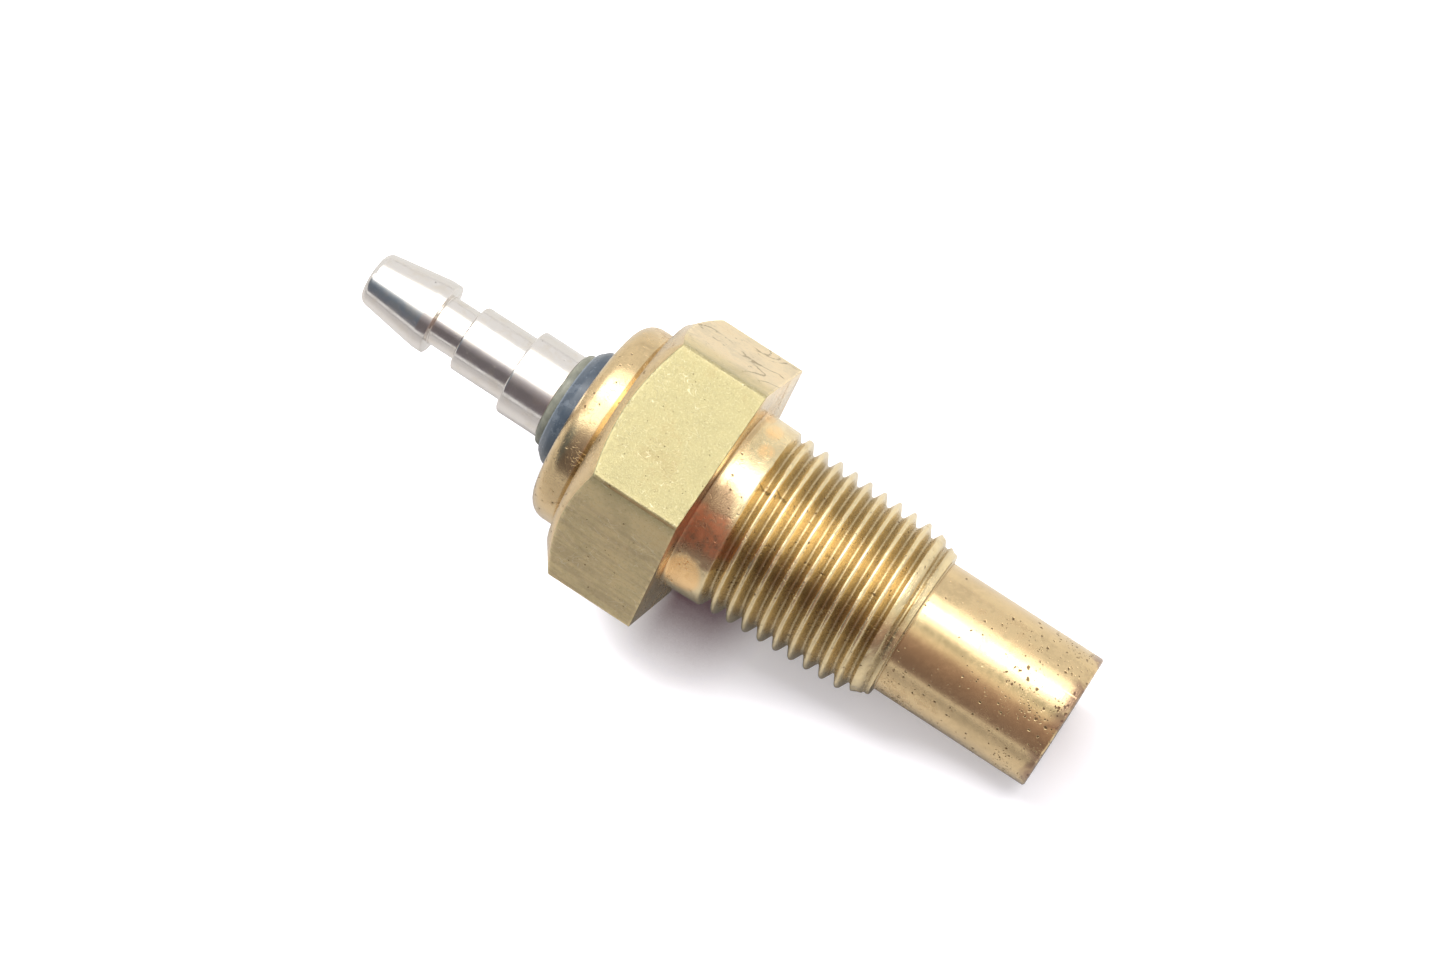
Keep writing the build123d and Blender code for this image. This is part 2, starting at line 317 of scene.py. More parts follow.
def rounded(points, steps=6):
    """A profile with round corners. Each point is (radius, station) or (radius, station, round)."""
    out = []
    for i, point in enumerate(points):
        corner = Vector(point[:2])
        size = point[2] if len(point) > 2 else 0.0
        if not size:
            out.append(tuple(corner))
            continue
        before = (Vector(points[i - 1][:2]) - corner).normalized()
        after = (Vector(points[(i + 1) % len(points)][:2]) - corner).normalized()
        half = before.angle(after) / 2
        centre = corner + (before + after).normalized() * size / sin(half)
        start = corner + before * size / tan(half) - centre
        end = corner + after * size / tan(half) - centre
        first = atan2(start.y, start.x)
        sweep = (atan2(end.y, end.x) - first + pi) % (2 * pi) - pi
        for step in range(steps + 1):
            angle = first + sweep * step / steps
            out.append((centre.x + size * cos(angle), centre.y + size * sin(angle)))
    return out


def lathe(name, profile, materials, columns=160, closed=False, sharp_degrees=32.0):
    """A turned piece. Its profile runs from axis to axis, or round a ring's section if closed."""
    skin = Skin(angles_round(columns))
    rings = [None if radius < 1e-6 else skin.ring(radius, station) for radius, station in profile]
    pairs = list(range(len(profile) - 1)) + ([len(profile) - 1] if closed else [])
    for i in pairs:
        j = (i + 1) % len(profile)
        if rings[i] is None:
            skin.open_cap(skin.point(0, profile[i][1], 0), rings[j])
        elif rings[j] is None:
            skin.close_cap(rings[i], skin.point(0, profile[j][1], 0))
        else:
            skin.band(rings[i], rings[j])
    return skin.build(name, materials, sharp_degrees)


# Brass body


def nick(angle, station, size, seed, threshold=0.25, scale=3.0):
    """Depth of small random dents at a place on the surface."""
    at = Vector((cos(angle) * scale, sin(angle) * scale, station * 1.7 + seed))
    return size * max(0.0, noise.noise(at * 2.0) - threshold) / (1 - threshold)


HEX_STEP = radians(60)
FLATS, TURNED, THREADED, PLAIN = range(4)


def off_flat(angle):
    """Angle from the middle of the nearest flat."""
    return (angle + HEX_STEP / 2) % HEX_STEP - HEX_STEP / 2


class BodyForm:
    """The body's surface as radii over stations and angles, in millimetres."""

    # The thread: its crests' round over the pitch, a crest's station at angle 0, half of the angle
    # between its flanks, half the width of the nicked top of a crest, the depth of the nicks, and
    # how far a nick may cut below the lead's small end
    crest_round_share = 0.137
    crest_phase = 0.0385
    flank_angle = radians(27.5)
    crest_top = 0.1
    crest_nick = 0.05
    lead_floor = 0.02

    def __init__(self, sizes):
        self.sizes = sizes
        self.apothem = sizes.hex_across_flats / 2
        self.hex_face = -sizes.hex_length
        self.foot = self.hex_face - sizes.chamfer_foot
        self.lip_rim = self.hex_face - sizes.collar_length
        self.lip_bore = sizes.lip_bore / 2
        self.crest_round = self.crest_round_share * sizes.thread_pitch
        narrowing = sizes.thread_taper / 2
        self.seat_radius = THREAD["r_mm"] + station_of("shank_thread") * narrowing
        self.lead_radius = sizes.thread_lead_diameter / 2
        lead_start = self.seat_radius - (sizes.shank_length - sizes.thread_lead_length) * narrowing
        self.lead_slope = (lead_start - self.lead_radius) / sizes.thread_lead_length
        self.bulb_end = sizes.shank_length + sizes.bulb_length
        self.groove = self.groove_profile()

    def hex_radius(self, angle):
        return min(self.apothem / cos(off_flat(angle)), self.sizes.hex_bar_diameter / 2)

    def dulled_corner(self):
        """Angle from a flat's middle to where its corner is dulled."""
        return atan2((self.sizes.hex_bar_diameter**2 / 4 - self.apothem**2) ** 0.5, self.apothem)

    def chamfer_station(self, angle):
        rise = self.hex_radius(angle) - self.sizes.hex_chamfer_diameter / 2
        return self.hex_face + rise * tan(self.sizes.hex_chamfer_angle)

    def lip_station(self, radius):
        return self.lip_rim + (radius - self.lip_bore) * tan(self.sizes.lip_slope)

    def groove_profile(self):
        """Drop below the crest over the distance from it: round crest, straight flank, round root."""
        flank = self.flank_angle
        pitch = self.sizes.thread_pitch
        depth = self.sizes.thread_depth
        crest_end = self.crest_round * cos(flank)
        crest_drop = self.crest_round * (1 - sin(flank))
        root_start = pitch / 2 - crest_end
        points = [(0.0, 0.0), (crest_end * 0.5, crest_drop * 0.22), (crest_end, crest_drop)]
        for share in (0.33, 0.67):
            across = crest_end + (root_start - crest_end) * share
            points.append((across, crest_drop + (depth - 2 * crest_drop) * share))
        points += [(root_start, depth - crest_drop), (pitch / 2 - crest_end * 0.5, depth - crest_drop * 0.22)]
        points.append((pitch / 2, depth))
        return points

    def groove_drop(self, offset):
        """Drop below the crest at an offset from the nearest crest."""
        offset = abs(offset)
        for (start, low), (end, high) in zip(self.groove, self.groove[1:]):
            if offset <= end:
                return low + (high - low) * (offset - start) / (end - start)
        return self.sizes.thread_depth

    def shank(self, station, angle):
        """Radius of the shank and how deep in the thread it is, from 0 to 1."""
        sizes = self.sizes
        pitch = sizes.thread_pitch
        crest = self.crest_phase + pitch * angle / (2 * pi)
        turns = (station - crest) / pitch
        offset = (turns - round(turns)) * pitch
        root = crest + pitch * (round(turns) + (0.5 if offset >= 0 else -0.5))
        climb = min(1.0, max(0.0, (root - sizes.neck_length) / sizes.thread_run_out))
        drop = max(0.0, self.groove_drop(offset) - (1 - climb) * sizes.thread_depth)
        if abs(offset) < self.crest_top:
            drop += nick(angle, station, self.crest_nick, 3.1)
        blank = self.seat_radius - station * sizes.thread_taper / 2
        lead = self.lead_radius + (sizes.shank_length - station) * self.lead_slope
        radius = min(blank - drop, lead - nick(angle, station, self.crest_nick, 8.4, 0.05, 4.0))
        return max(radius, self.lead_radius - self.lead_floor), min(1.0, drop / sizes.thread_depth)


def lay_bore_and_collar(skin, form):
    """The blind bore from its floor, the rolled lip, and the collar down to the hexagon."""
    sizes = form.sizes
    bore_radius = sizes.bore_diameter / 2
    bore_floor = form.bulb_end - sizes.bulb_floor
    wide_radius = sizes.counterbore_diameter / 2
    bush_seat = form.hex_face + sizes.counterbore_in_hex
    lip_inside = form.lip_rim + sizes.lip_thickness
    undercut = (wide_radius - form.lip_bore) * tan(sizes.lip_slope)
    floor_ring = skin.ring(bore_radius, bore_floor)
    skin.open_cap(skin.point(0, bore_floor, 0), floor_ring, TURNED)
    bore = [(bore_radius, bush_seat), (wide_radius, bush_seat), (wide_radius, lip_inside + undercut)]
    last = skin.sweep(floor_ring, bore + [(form.lip_bore, lip_inside)], TURNED)

    collar_radius = sizes.collar_diameter / 2
    groove_radius = sizes.groove_diameter / 2
    collar = [
        (form.lip_bore, lip_inside),
        (form.lip_bore, form.lip_rim, sizes.lip_rim_round),
        (collar_radius, form.lip_station(collar_radius), sizes.lip_outer_round),
        (collar_radius, form.foot - sizes.groove_width, 0.2),
        (groove_radius, form.foot - sizes.groove_width + sizes.groove_slope, 0.15),
        (groove_radius, form.foot, 0.05),
        (sizes.hex_chamfer_diameter / 2 - sizes.edge_break, form.foot),
    ]
    # The lip's face is darker and browner within half a millimetre of its bore, beside the seal
    darker_within = form.lip_bore + 0.5
    section = rounded(collar, 7)[1:]
    return skin.sweep(last, [(*spot, -0.6 if spot[0] < darker_within else 0.0) for spot in section], TURNED)


def lay_hexagon(skin, form, last):
    """Chamfer, flats with worn edges, and the face by the neck."""
    sizes = form.sizes
    edge = sizes.edge_break
    tilt = sizes.hex_chamfer_angle
    corner = form.dulled_corner()
    worn_band = 0.15
    flat_rows = 5
    face_radius = 5.9
    neck_fillet = 0.16

    def inset(inward):
        return lambda angle: form.hex_radius(angle) - inward

    def past_chamfer(distance):
        return lambda angle: form.chamfer_station(angle) + distance

    def down_the_flat(share):
        return lambda angle: (form.chamfer_station(angle) + worn_band) * (1 - share) - worn_band * share

    def corner_wear(angle):
        """Bright worn corners. The corner under the middle flat also has a brown line below it."""
        off = off_flat(angle)
        if abs(off) < corner - 1e-6:
            return 0.0
        under_middle_flat = 0.5 < angle < 0.6 and off < 0
        return -0.9 if under_middle_flat else 0.9

    chamfer = [
        (sizes.hex_chamfer_diameter / 2, form.foot + edge * 0.3, -0.2),
        (inset(edge * cos(tilt)), past_chamfer(-edge * sin(tilt)), 0.2),
    ]
    last = skin.sweep(last, chamfer, TURNED)
    flats = [(inset(0.0), past_chamfer(edge), 1.0), (inset(0.0), past_chamfer(worn_band), 0.2)]
    for row in range(1, flat_rows + 1):
        flats.append((form.hex_radius, down_the_flat(row / flat_rows), corner_wear))
    flats += [(inset(0.0), -edge, 1.0), (inset(edge * 0.3), -edge * 0.3, 1.0), (inset(edge), 0.0, 0.6)]
    last = skin.sweep(last, flats, FLATS)
    seat = form.seat_radius
    fillet = rounded([(face_radius, 0.0), (seat, 0.0, neck_fillet), (seat, 0.5)], 4)[1:-1]
    return skin.sweep(last, [(face_radius, 0.0)] + [(*spot, -0.4) for spot in fillet], TURNED)


def lay_thread(skin, form, last):
    """The neck and the thread: rows that follow the helix, joined to a plain ring at each end."""
    sizes = form.sizes
    pitch = sizes.thread_pitch
    neck_station = 0.3
    shortest_end = 0.04
    closing_rows = 12
    across_groove = {round(side * across, 6) for across, drop in form.groove[:-1] for side in (-1, 1)}
    offsets = sorted(across_groove | {-pitch / 2})
    rows_a_turn = len(offsets)
    neck_ring = skin.ring(lambda angle: form.shank(neck_station, angle)[0], neck_station)
    skin.band(last, neck_ring, TURNED)

    def shank_point(station, angle):
        radius, depth = form.shank(station, angle)
        return skin.point(radius, station, angle, -depth)

    def row_station(row):
        return form.crest_phase + pitch * (1 + row // rows_a_turn) + offsets[row % rows_a_turn]

    last_row = 0
    while row_station(last_row + 1) + pitch < sizes.shank_length - shortest_end:
        last_row += 1
    rows = []
    for row in range(last_row + rows_a_turn + 1):
        angles = skin.angles if row <= last_row else skin.angles[:1]
        rows.append([shank_point(row_station(row) + pitch * angle / (2 * pi), angle) for angle in angles])

    def at(row, column):
        return rows[row][column] if column < skin.count else rows[row + rows_a_turn][0]

    for row in range(last_row):
        for i in range(skin.count):
            skin.face((at(row, i), at(row, i + 1), at(row + 1, i + 1), at(row + 1, i)), THREADED)
    final = skin.count - 1
    for i in range(final):
        skin.face((neck_ring[i], neck_ring[i + 1], at(0, i + 1), at(0, i)), THREADED)
    seam = [neck_ring[0]] + [rows[row][0] for row in range(rows_a_turn + 1)]
    skin.zip([neck_ring[final], at(0, final)], seam, THREADED)

    end_ring = skin.ring(form.lead_radius, sizes.shank_length)
    lines = {}
    for i in range(1, skin.count + 1):
        angle = skin.angles[i] if i < skin.count else 2 * pi
        start = row_station(last_row) + pitch * angle / (2 * pi)
        line = [at(last_row, i)]
        for step in range(1, closing_rows):
            line.append(shank_point(start + (sizes.shank_length - start) * step / closing_rows, angle))
        lines[i] = line + [end_ring[i % skin.count]]
    for i in range(1, skin.count):
        here, there = lines[i], lines[i + 1]
        for low in range(closing_rows):
            skin.face((here[low], there[low], there[low + 1], here[low + 1]), THREADED)
    seam = [rows[row][0] for row in range(last_row, last_row + rows_a_turn)] + lines[skin.count]
    skin.zip(seam, lines[1], THREADED)
    return end_ring


def lay_bulb(skin, form, last):
    """The slim bulb, with a small fillet at its foot and a dented edge at its closed end."""
    sizes = form.sizes
    radius = sizes.bulb_diameter / 2
    bulb_fillet = 0.08
    past_fillet = 0.2
    bulb_rows = 6
    start = sizes.shank_length + past_fillet
    end = form.bulb_end - sizes.bulb_edge

    def dented(value, dent):
        return lambda angle: value - nick(angle, 0.0, dent, 5.7, 0.2)

    shoulder = (form.lead_radius, sizes.shank_length)
    fillet = rounded([shoulder, (radius, sizes.shank_length, bulb_fillet), (radius, end)], 3)[1:-1]
    last = skin.sweep(last, [(*spot, -0.8) for spot in fillet], THREADED)
    side = [(radius, start + (end - start) * row / bulb_rows) for row in range(bulb_rows + 1)]
    for inward, back, wear in ((0.028, 0.05, 1.0), (sizes.bulb_edge, 0.0, 0.8)):
        side.append((dented(radius - inward, 0.05), dented(form.bulb_end - back, 0.03), wear))
    side += [(radius * share, form.bulb_end) for share in (0.93, 0.6, 0.3)]
    last = skin.sweep(last, side, PLAIN)
    skin.close_cap(last, skin.point(0, form.bulb_end, 0), PLAIN)


def build_body_mesh(sizes, materials):
    """One closed skin: blind bore, rolled lip, hexagon, taper thread and bulb."""
    form = BodyForm(sizes)
    corner = form.dulled_corner()
    near = HEX_STEP / 2 - radians(0.3)
    by_corner = (corner, near, HEX_STEP - near, HEX_STEP - corner)
    extra = [side * HEX_STEP + turned for side in range(6) for turned in by_corner]
    skin = Skin(angles_round(360 * sizes.columns_per_degree, extra))
    last = lay_bore_and_collar(skin, form)
    last = lay_hexagon(skin, form, last)
    last = lay_thread(skin, form, last)
    lay_bulb(skin, form, last)
    return skin.build("brass_body", materials, sharp_degrees=34.0)


# Terminal, washer and seal


def build_terminal_mesh(sizes, materials):
    """The bullet terminal with its steps and riveted stem."""
    tip, end = stations_of("terminal_pin")
    shoulder = tip + sizes.head_length
    middle_end = shoulder + sizes.neck_length
    large_end = middle_end + sizes.middle_length
    washer_top = large_end + sizes.large_length
    stem_end = end - sizes.rivet_height
    head = sizes.head_diameter / 2
    neck = sizes.neck_diameter / 2
    middle = sizes.middle_diameter / 2
    large = sizes.large_diameter / 2
    stem = sizes.stem_diameter / 2
    crisp = 0.05
    profile = [
        (0, tip),
        (sizes.tip_diameter / 4, tip),
        (sizes.tip_diameter / 2, tip, sizes.tip_round),
        (head, shoulder - sizes.head_land, 0.5),
        (head, shoulder, crisp),
        (neck, shoulder, crisp),
        (neck, middle_end, crisp),
        (middle, middle_end, sizes.step_round),
        (middle, large_end, crisp),
        (large, large_end, sizes.step_round),
        (large, washer_top, crisp),
        (stem, washer_top),
        (stem, stem_end),
        (sizes.rivet_diameter / 2, stem_end),
        (0, end),
    ]
    return lathe("bullet_terminal", rounded(profile, 7), materials, columns=192)


def build_washer_mesh(sizes, materials):
    """The insulating washer under the terminal's large step."""
    top, bottom = stations_of("terminal_washer")
    hole = sizes.stem_diameter / 2 + sizes.stem_clearance
    outer = sizes.washer_diameter / 2
    profile = [(hole, top), (outer, top, 0.3), (outer, bottom, 0.04), (hole, bottom)]
    return lathe("insulating_washer", rounded(profile, 6), materials, columns=160, closed=True)


def build_seal_mesh(sizes, materials, lip_bore, lip_rim):
    """The rubber ring, squeezed until it crowns out of the lip."""
    top, bottom = stations_of("seal_ring")
    inner = sizes.seal_inner_diameter / 2
    crown = lip_bore - sizes.seal_crown * 0.78
    waist = (lip_bore - 0.11, lip_rim - sizes.seal_stand * 0.5, 0.5)
    outer = [(inner, top), (crown, top, 0.16), waist, (lip_bore, lip_rim), (lip_bore, bottom)]
    profile = rounded(outer + [(inner, bottom)], 6)
    return lathe("rubber_seal", profile, materials, columns=192, closed=True, sharp_degrees=50)


# Shader nodes


class Tree:
    """Adds and joins the nodes of one node tree. Vectors are in millimetres of part space."""

    def __init__(self, tree):
        self.tree = tree

    def add(self, kind, inputs=(), **settings):
        node = self.tree.nodes.new(kind)
        for key, value in settings.items():
            setattr(node, key, value)
        for key, value in dict(inputs).items():
            self.feed(node.inputs[key], value)
        return node

    def feed(self, socket, value):
        if isinstance(value, bpy.types.NodeSocket):
            self.tree.links.new(value, socket)
        elif socket.type == "RGBA" and len(value) == 3:
            socket.default_value = (*value, 1.0)
        else:
            socket.default_value = value

    def math(self, operation, first, second=0.0, clamp=False):
        inputs = {0: first, 1: second}
        return self.add("ShaderNodeMath", inputs, operation=operation, use_clamp=clamp).outputs[0]

    def plus(self, first, second, clamp=False):
        return self.math("ADD", first, second, clamp)

    def minus(self, first, second, clamp=False):
        return self.math("SUBTRACT", first, second, clamp)

    def times(self, first, second, clamp=False):
        return self.math("MULTIPLY", first, second, clamp)

    def most(self, first, second):
        return self.math("MAXIMUM", first, second)

    def vector(self, operation, first, second):
        return self.add("ShaderNodeVectorMath", {0: first, 1: second}, operation=operation).outputs[0]

    def scale(self, vector, factors):
        return self.vector("MULTIPLY", vector, factors)

    def shift(self, vector, offset):
        return self.vector("ADD", vector, offset)

    def brighten(self, shade, factor):
        return self.add("ShaderNodeVectorMath", {0: shade, "Scale": factor}, operation="SCALE").outputs[0]

    def noise(self, vector, scale, detail=3.0, roughness=0.55, distortion=0.0):
        inputs = {"Vector": vector, "Scale": scale, "Detail": detail, "Roughness": roughness}
        inputs["Distortion"] = distortion
        return self.add("ShaderNodeTexNoise", inputs).outputs["Fac"]

    def span(self, value, low, high, out_low=0.0, out_high=1.0):
        """A value's place between low and high, eased, as a value between out_low and out_high."""
        inputs = {"Value": value, "From Min": low, "From Max": high, "To Min": out_low, "To Max": out_high}
        return self.add("ShaderNodeMapRange", inputs, interpolation_type="SMOOTHSTEP").outputs["Result"]

    def fall(self, value, low, high):
        """1 below low, eased down to 0 at high."""
        return self.span(value, low, high, 1.0, 0.0)

    def ramp(self, value, low, high, stops):
        """A colour from stops, each a value and a colour."""
        share = self.math("DIVIDE", self.minus(value, low), high - low)
        node = self.add("ShaderNodeValToRGB", {0: share})
        elements = node.color_ramp.elements
        while len(elements) < len(stops):
            elements.new(0.5)
        for element, (at, shade) in zip(elements, sorted(stops)):
            element.position = (at - low) / (high - low)
            element.color = (*shade, 1.0)
        return node.outputs["Color"]

    def mix(self, share, first, second):
        """A colour between two colours."""
        node = self.add("ShaderNodeMix", data_type="RGBA")
        for socket, value in ((0, share), (6, first), (7, second)):
            self.feed(node.inputs[socket], value)
        return node.outputs[2]

    def blend_value(self, share, first, second):
        return self.add("ShaderNodeMix", {0: share, 2: first, 3: second}, data_type="FLOAT").outputs[0]

    def spot(self, space, station, angle, long, wide, edge=0.7):
        """A round mark at a station and an angle, long in millimetres and wide in radians."""
        off = self.math("DIVIDE", self.minus(space["Station"], station), long)
        turn = self.math("DIVIDE", self.minus(space["Angle"], angle), wide)
        apart = self.plus(self.times(off, off), self.times(turn, turn))
        return self.fall(apart, 1 - edge, 1 + edge)

    def attribute(self, name):
        return self.add("ShaderNodeAttribute", attribute_name=name).outputs["Fac"]

    def group(self, tree, **inputs):
        node = self.add("ShaderNodeGroup", node_tree=tree)
        for key, value in inputs.items():
            self.feed(node.inputs[key.replace("_", " ").capitalize()], value)
        return node.outputs


def shader_group(name, inputs, outputs, wire):
    """A shader node group, built once. wire(tree, inputs, outputs) joins its nodes."""
    known = bpy.data.node_groups.get(name)
    if known:
        return known
    group = bpy.data.node_groups.new(name, "ShaderNodeTree")
    for direction, sockets in (("INPUT", inputs), ("OUTPUT", outputs)):
        for socket_name, kind, *default in sockets:
            kind = "NodeSocket" + kind
            socket = group.interface.new_socket(socket_name, in_out=direction, socket_type=kind)
            if default:
                socket.default_value = default[0]
    tree = Tree(group)
    wire(tree, tree.add("NodeGroupInput").outputs, tree.add("NodeGroupOutput").inputs)
    return group


def part_space():
    """Place on the part in millimetres: x along the centreline, y upward and z across."""

    def wire(tree, given, out):
        here = tree.add("ShaderNodeTexCoord").outputs["Object"]
        centred = tree.vector("SUBTRACT", here, tuple(SEAT))
        scaled = tree.scale(centred, (1 / MM,) * 3)
        parts = []
        for direction in (ALONG, UPWARD, ACROSS):
            dot = tree.add("ShaderNodeVectorMath", {0: scaled, 1: tuple(direction)}, operation="DOT_PRODUCT")
            parts.append(dot.outputs["Value"])
        point = tree.add("ShaderNodeCombineXYZ", {0: parts[0], 1: parts[1], 2: parts[2]}).outputs[0]
        tree.feed(out["Point"], point)
        tree.feed(out["Station"], parts[0])
        tree.feed(out["Angle"], tree.math("ARCTAN2", parts[2], parts[1]))

    outputs = [("Point", "Vector"), ("Station", "Float"), ("Angle", "Float")]
    return shader_group("Part space", [], outputs, wire)


def pits_group():
    """Round dark specks of uneven size. Share is the part of the cells that hold one."""

    def wire(tree, given, out):
        warp = tree.noise(given["Point"], 4.0, 2.0)
        warped = tree.shift(given["Point"], tree.scale(warp, (0.25,) * 3))
        cells = tree.add("ShaderNodeTexVoronoi", {"Vector": warped, "Scale": given["Density"]})
        random = tree.add("ShaderNodeSeparateColor", {0: cells.outputs["Color"]})
        chosen = tree.math("LESS_THAN", random.outputs[0], given["Share"])
        size = tree.times(given["Size"], tree.plus(random.outputs[1], 0.35))
        inside = tree.minus(1.0, tree.math("DIVIDE", cells.outputs["Distance"], size), clamp=True)
        mask = tree.times(tree.times(inside, 2.2, clamp=True), chosen)
        tree.feed(out["Mask"], mask)

    inputs = [("Point", "Vector"), ("Density", "Float", 3.0), ("Size", "Float", 0.3), ("Share", "Float", 0.3)]
    return shader_group("Pits", inputs, [("Mask", "Float")], wire)


def turning_group():
    """Fine rings that a turning tool leaves, with uneven depth round the part."""

    def wire(tree, given, out):
        stretched = tree.scale(given["Point"], (1.0, 0.02, 0.02))
        rings = tree.noise(stretched, given["Density"], 4.0, 0.75)
        patchy = tree.noise(given["Point"], 0.9, 2.0)
        tree.feed(out["Height"], tree.times(rings, tree.blend_value(patchy, 0.4, 1.0)))

    inputs = [("Point", "Vector"), ("Density", "Float", 12.0)]
    return shader_group("Turning lines", inputs, [("Height", "Float")], wire)


def scratches_group():
    """Thin bright or dark scratches that run in two slanting directions."""

    def wire(tree, given, out):
        masks = []
        for turn, seed in ((0.5, 3.0), (-0.9, 11.0)):
            rotated = tree.add("ShaderNodeVectorRotate", {"Vector": given["Point"], "Angle": turn})
            stretched = tree.scale(rotated.outputs[0], (0.22, 2.2, 2.2))
            lines = tree.noise(tree.shift(stretched, (seed, 0, 0)), given["Density"], 1.0, 0.4, 0.4)
            off = tree.math("ABSOLUTE", tree.minus(lines, 0.5))
            line = tree.fall(off, 0.0, 0.012)
            patch = tree.noise(tree.shift(given["Point"], (0, seed, 0)), 0.8, 2.0)
            masks.append(tree.times(line, tree.span(patch, 0.52, 0.62)))
        tree.feed(out["Mask"], tree.most(masks[0], masks[1]))

    inputs = [("Point", "Vector"), ("Density", "Float", 1.5)]
    return shader_group("Scratches", inputs, [("Mask", "Float")], wire)


def tarnish_group():
    """Metal colour and roughness from its clean colour, a film, specks and worn edges."""

    def wire(tree, given, out):
        broad = tree.noise(given["Point"], 0.35, 3.0, 0.6, 0.4)
        fine = tree.noise(given["Point"], 3.2, 4.0, 0.65)
        cloud = tree.blend_value(0.4, broad, fine)
        shade = tree.span(cloud, 0.36, 0.64, 0.86, 1.08)
        clean = tree.brighten(given["Clean"], shade)
        patch = tree.span(cloud, 0.50, 0.66)
        film = tree.times(patch, given["Film"], clamp=True)
        hollow = tree.times(tree.times(given["Wear"], -1.0, clamp=True), given["Grime"])
        hollow = tree.times(hollow, tree.blend_value(fine, 0.55, 1.3), clamp=True)
        film = tree.most(film, hollow)
        stained = tree.mix(film, clean, given["Tarnish"])
        worn = tree.times(given["Wear"], tree.span(fine, 0.35, 0.6), clamp=True)
        bright = tree.brighten(given["Clean"], 1.25)
        edged = tree.mix(tree.times(worn, 0.7), stained, bright)
        tree.feed(out["Colour"], tree.mix(given["Specks"], edged, given["Speck colour"]))
        rough = tree.plus(given["Base roughness"], tree.times(film, 0.22))
        rough = tree.plus(rough, tree.span(cloud, 0.3, 0.7, -0.04, 0.05))
        rough = tree.plus(rough, tree.times(given["Specks"], 0.35), clamp=True)
        tree.feed(out["Roughness"], tree.minus(rough, tree.times(worn, 0.08)))

    inputs = [
        ("Point", "Vector"),
        ("Clean", "Color"),
        ("Tarnish", "Color"),
        ("Speck colour", "Color"),
        ("Specks", "Float", 0.0),
        ("Film", "Float", 0.5),
        ("Grime", "Float", 0.5),
        ("Wear", "Float", 0.0),
        ("Base roughness", "Float", 0.3),
    ]
    return shader_group("Tarnished metal", inputs, [("Colour", "Color"), ("Roughness", "Float")], wire)


def neck_stain_and_reflection_group():
    """A painted dark reflection band, a copper-red patch that is partly a rough stain and partly a painted
    reddish reflection, orange patches and small dents on the neck, over the metal's own colour.
    """

    def wire(tree, given, out):
        waver = tree.times(tree.minus(tree.noise(given["Point"], 1.1, 3.0), 0.5), 0.9)
        angle = tree.plus(given["Angle"], tree.times(waver, 0.3))
        reach = tree.plus(given["Station"], waver)
        reach = tree.minus(reach, tree.span(angle, 0.1, 0.7, 0.0, 0.9))
        along = tree.fall(reach, 1.0, 1.9)
        along = tree.times(along, tree.span(given["Station"], -0.3, -0.1))
        # Painted reflection: a dark brown band round part of the neck, over a range of angles, near the
        # hexagon
        painted_dark_reflection = tree.times(along, tree.span(angle, -0.03, 0.16))
        painted_dark_reflection = tree.times(painted_dark_reflection, tree.fall(angle, 0.88, 0.98))
        colour = tree.mix(tree.times(painted_dark_reflection, 0.85), given["Colour"], (0.31, 0.19, 0.115))
        # A copper-red patch inside the dark band: partly a rough stain and partly a painted reddish
        # reflection
        red = tree.times(tree.times(along, tree.span(angle, 0.28, 0.42)), 0.95)
        red = tree.times(red, tree.fall(angle, 0.68, 0.9))
        mottle = tree.noise(given["Point"], 3.0, 4.0, 0.7)
        red = tree.times(red, tree.span(mottle, 0.35, 0.6, 0.35, 1.0))
        colour = tree.mix(red, colour, (0.60, 0.26, 0.14))
        warm = tree.times(tree.spot(given, 0.95, -0.8, 0.42, 0.14), 0.8)
        for station, turned, long, wide in ((1.25, -0.47, 0.4, 0.1), (0.3, -1.0, 0.3, 0.12)):
            patch = tree.spot(given, station, turned, long, wide)
            warm = tree.most(warm, tree.times(patch, 0.7))
        warm = tree.times(warm, tree.span(tree.noise(given["Point"], 2.5, 3.0), 0.3, 0.6, 0.4, 0.85))
        warm = tree.most(warm, tree.times(tree.spot(given, 0.9, 1.2, 1.0, 0.28, 0.4), 0.85))
        colour = tree.mix(warm, colour, (1.0, 0.64, 0.29))
        dents = tree.spot(given, 2.55, -0.1, 0.12, 0.02)
        for station, turned in ((2.2, -0.13), (3.1, -0.17)):
            dents = tree.most(dents, tree.spot(given, station, turned, 0.3, 0.013))
        tree.feed(out["Colour"], tree.mix(tree.times(dents, 0.75), colour, (0.16, 0.12, 0.06)))
        tree.feed(out["Roughness"], tree.blend_value(red, given["Rough"], 0.5))

    inputs = [
        ("Point", "Vector"),
        ("Station", "Float", 0.0),
        ("Angle", "Float", 0.0),
        ("Colour", "Color"),
        ("Rough", "Float", 0.3),
    ]
    return shader_group("Neck stain", inputs, [("Colour", "Color"), ("Roughness", "Float")], wire)


def stain_group():
    """Dark curved lines where a dried film ended: contours of a slow, bent noise."""

    def wire(tree, given, out):
        level = tree.noise(given["Point"], given["Size"], 1.0, 0.4, 1.2)
        waver = tree.noise(given["Point"], 5.0, 2.0)
        edge = tree.plus(tree.minus(level, 0.5), tree.span(waver, 0.3, 0.7, -0.008, 0.008))
        line = tree.fall(tree.math("ABSOLUTE", edge), 0.004, 0.016)
        gap = tree.span(tree.noise(given["Point"], 1.1, 2.0), 0.42, 0.55)
        tree.feed(out["Mask"], tree.times(line, gap))

    inputs = [("Point", "Vector"), ("Size", "Float", 0.3)]
    return shader_group("Stain lines", inputs, [("Mask", "Float")], wire)


